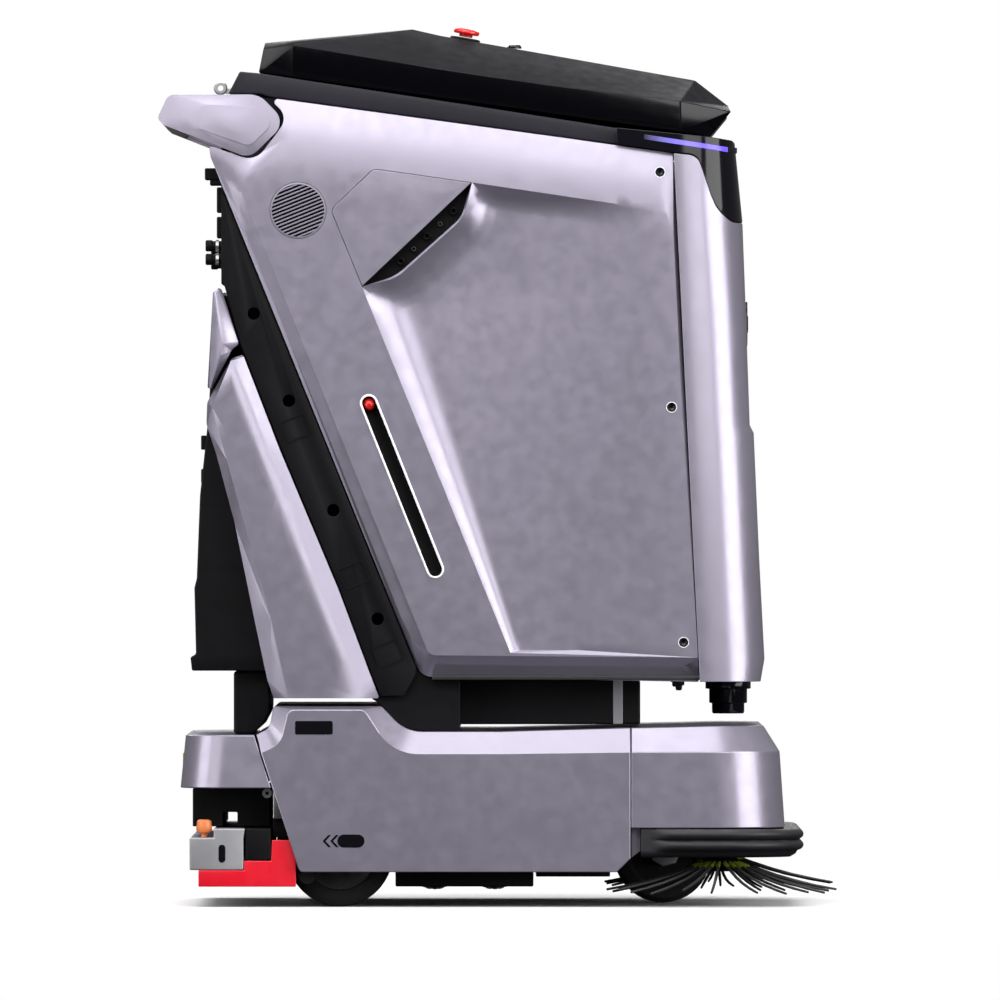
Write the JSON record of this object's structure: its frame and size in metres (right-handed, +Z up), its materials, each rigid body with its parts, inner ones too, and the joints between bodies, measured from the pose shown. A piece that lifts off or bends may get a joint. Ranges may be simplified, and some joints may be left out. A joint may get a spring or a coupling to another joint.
{
  "type": "robotic floor scrubber",
  "caption": "Upright robotic floor scrubber: hinged lid over a water tank, push handle, side brushes, lifting roller-brush deck and squeegee, drive wheels and a swivel caster.",
  "frame": {"origin": "on the floor, under the middle of the bounding box", "axes": "+X is the front of the machine, +Y its left side, +Z up"},
  "size_m": [0.857, 0.795, 1.1034],
  "materials": {
    "silver_paint": "moulded cover in satin metallic silver-lilac paint with a fine orange-peel and soft edge wear",
    "dark_frame": "dark grey moulded plastic, fine texture",
    "black_plastic": "black moulded plastic with a light grain",
    "lid_plastic": "black satin lid, faint grain on top, glossier side wall",
    "gloss_black": "piano-black tinted window",
    "led_lens": "blue-violet light strip behind a diffuser",
    "steel": "zinc-plated folded steel",
    "tank_plastic": "rotomoulded translucent-grey polyethylene",
    "battery_case": "dark grey battery and pump housings",
    "tyre_rubber": "black rubber tread, dusty and scuffed",
    "hub_plastic": "dark grey nylon wheel hub",
    "side_bristle": "stiff black nylon bristles in a black disc",
    "roller_bristle": "blue-grey nylon scrubbing bristles",
    "blade_red": "red polyurethane squeegee blade",
    "bracket_grey": "grey glass-filled squeegee beam",
    "knob_orange": "orange moulded clamp knob",
    "button_red": "glossy red button and float",
    "contact_brass": "brass charging contacts"
  },
  "bodies": {
    "machine": {"base_shell": "silver_paint", "battery_pack": "battery_case", "body_tray": "steel", "centre_column": "black_plastic", "charging_contact_plate": "contact_brass", "chassis_tray": "steel", "clean_water_tank": "tank_plastic", "control_box": "black_plastic", "debris_bin": "black_plastic", "drive_motor_left": "black_plastic", "drive_motor_right": "black_plastic", "front_panel": "silver_paint", "front_shell": "silver_paint", "led_strip": "led_lens", "level_gauge": "black_plastic", "lidar": "gloss_black", "push_handle": "silver_paint", "rear_column": "black_plastic", "rear_cover_lower_left": "silver_paint", "rear_cover_lower_right": "silver_paint", "rear_cover_upper_left": "silver_paint", "rear_cover_upper_right": "silver_paint", "rear_panel": "black_plastic", "rear_shell": "silver_paint", "recovery_tank": "black_plastic", "sensor_window": "gloss_black", "side_brush_motor_left": "black_plastic", "side_brush_motor_right": "black_plastic", "side_panel_left": "silver_paint", "side_panel_right": "silver_paint", "speaker_grille": "silver_paint", "spine_frame_left": "black_plastic", "spine_frame_right": "black_plastic", "squeegee_lift_bracket": "black_plastic", "suction_motor": "black_plastic", "top_frame": "dark_frame", "water_pump": "battery_case"},
    "lid": {"lid_cover": "lid_plastic", "touchscreen": "gloss_black", "estop_base": "black_plastic"},
    "estop_plunger": {"estop_button": "button_red"},
    "drive_wheel_right": {"drive_tyre_right": "tyre_rubber", "drive_hub_right": "hub_plastic"},
    "drive_wheel_left": {"drive_tyre_left": "tyre_rubber", "drive_hub_left": "hub_plastic"},
    "caster_yoke": {"caster_fork": "steel"},
    "caster_roller": {"caster_wheel": "tyre_rubber"},
    "side_rotor_right": {"side_brush_right": "side_bristle"},
    "side_rotor_left": {"side_brush_left": "side_bristle"},
    "deck": {"scrub_deck": "black_plastic"},
    "roller_front": {"roller_brush_front": "roller_bristle"},
    "roller_rear": {"roller_brush_rear": "roller_bristle"},
    "squeegee": {"squeegee_frame": "bracket_grey", "squeegee_suction_head": "black_plastic", "squeegee_blade": "blade_red"},
    "squeegee_clamp": {"squeegee_knob": "knob_orange"},
    "guide_roller_right": {"squeegee_roller_right": "tyre_rubber"},
    "guide_roller_left": {"squeegee_roller_left": "tyre_rubber"},
    "bumper_bar": {"bumper": "black_plastic"},
    "float": {"level_float": "button_red"}
  },
  "joints": [
    {"name": "lid_hinge", "type": "hinge", "parent": "machine", "child": "lid", "pos_m": [-0.302, 0, 1.044], "axis": [0, -1, 0], "range_deg": [0, 70]},
    {"name": "estop_press", "type": "slide", "parent": "lid", "child": "estop_plunger", "axis": [-0.1724, 0, -0.985], "range_m": [0, 0.004], "stiffness_N_per_m": 300, "springref_m": -0.004},
    {"name": "drive_wheel_right_spin", "type": "hinge", "parent": "machine", "child": "drive_wheel_right", "pos_m": [-0.2006, -0.235, 0.0666], "axis": [0, 1, 0], "continuous": true},
    {"name": "drive_wheel_left_spin", "type": "hinge", "parent": "machine", "child": "drive_wheel_left", "pos_m": [-0.2006, 0.235, 0.0666], "axis": [0, 1, 0], "continuous": true},
    {"name": "caster_swivel", "type": "hinge", "parent": "machine", "child": "caster_yoke", "pos_m": [0.2306, 0, 0.1395], "axis": [0, 0, 1], "continuous": true},
    {"name": "caster_roll", "type": "hinge", "parent": "caster_yoke", "child": "caster_roller", "pos_m": [0.2056, 0, 0.062], "axis": [0, 1, 0], "continuous": true},
    {"name": "side_brush_right_spin", "type": "hinge", "parent": "machine", "child": "side_rotor_right", "pos_m": [0.276, -0.245, 0.0695], "axis": [0, 0, 1], "continuous": true},
    {"name": "side_brush_left_spin", "type": "hinge", "parent": "machine", "child": "side_rotor_left", "pos_m": [0.276, 0.245, 0.0695], "axis": [0, 0, 1], "continuous": true},
    {"name": "scrub_deck_lift", "type": "slide", "parent": "machine", "child": "deck", "axis": [0, 0, -1], "range_m": [0, 0.02]},
    {"name": "roller_front_spin", "type": "hinge", "parent": "deck", "child": "roller_front", "pos_m": [-0.007, 0, 0.0576], "axis": [0, 1, 0], "continuous": true},
    {"name": "roller_rear_spin", "type": "hinge", "parent": "deck", "child": "roller_rear", "pos_m": [-0.082, 0, 0.0576], "axis": [0, 1, 0], "continuous": true},
    {"name": "squeegee_lift", "type": "slide", "parent": "machine", "child": "squeegee", "axis": [0, 0, -1], "range_m": [0, 0.024]},
    {"name": "squeegee_knob_turn", "type": "hinge", "parent": "squeegee", "child": "squeegee_clamp", "pos_m": [-0.37, -0.282, 0.0874], "axis": [0, 0, 1], "range_deg": [0, 90]},
    {"name": "guide_roller_right_spin", "type": "hinge", "parent": "squeegee", "child": "guide_roller_right", "pos_m": [-0.2415, -0.28, 0.04], "axis": [0, 1, 0], "continuous": true},
    {"name": "guide_roller_left_spin", "type": "hinge", "parent": "squeegee", "child": "guide_roller_left", "pos_m": [-0.2415, 0.28, 0.04], "axis": [0, 1, 0], "continuous": true},
    {"name": "bumper_press", "type": "slide", "parent": "machine", "child": "bumper_bar", "axis": [-1, 0, 0], "range_m": [0, 0.008], "stiffness_N_per_m": 2000, "springref_m": -0.004},
    {"name": "float_travel", "type": "slide", "parent": "machine", "child": "float", "axis": [0.3706, 0, -0.9288], "range_m": [0, 0.222]}
  ],
  "couplings": [
    {"joint": "roller_rear_spin", "follows": "roller_front_spin", "ratio": -1}
  ]
}
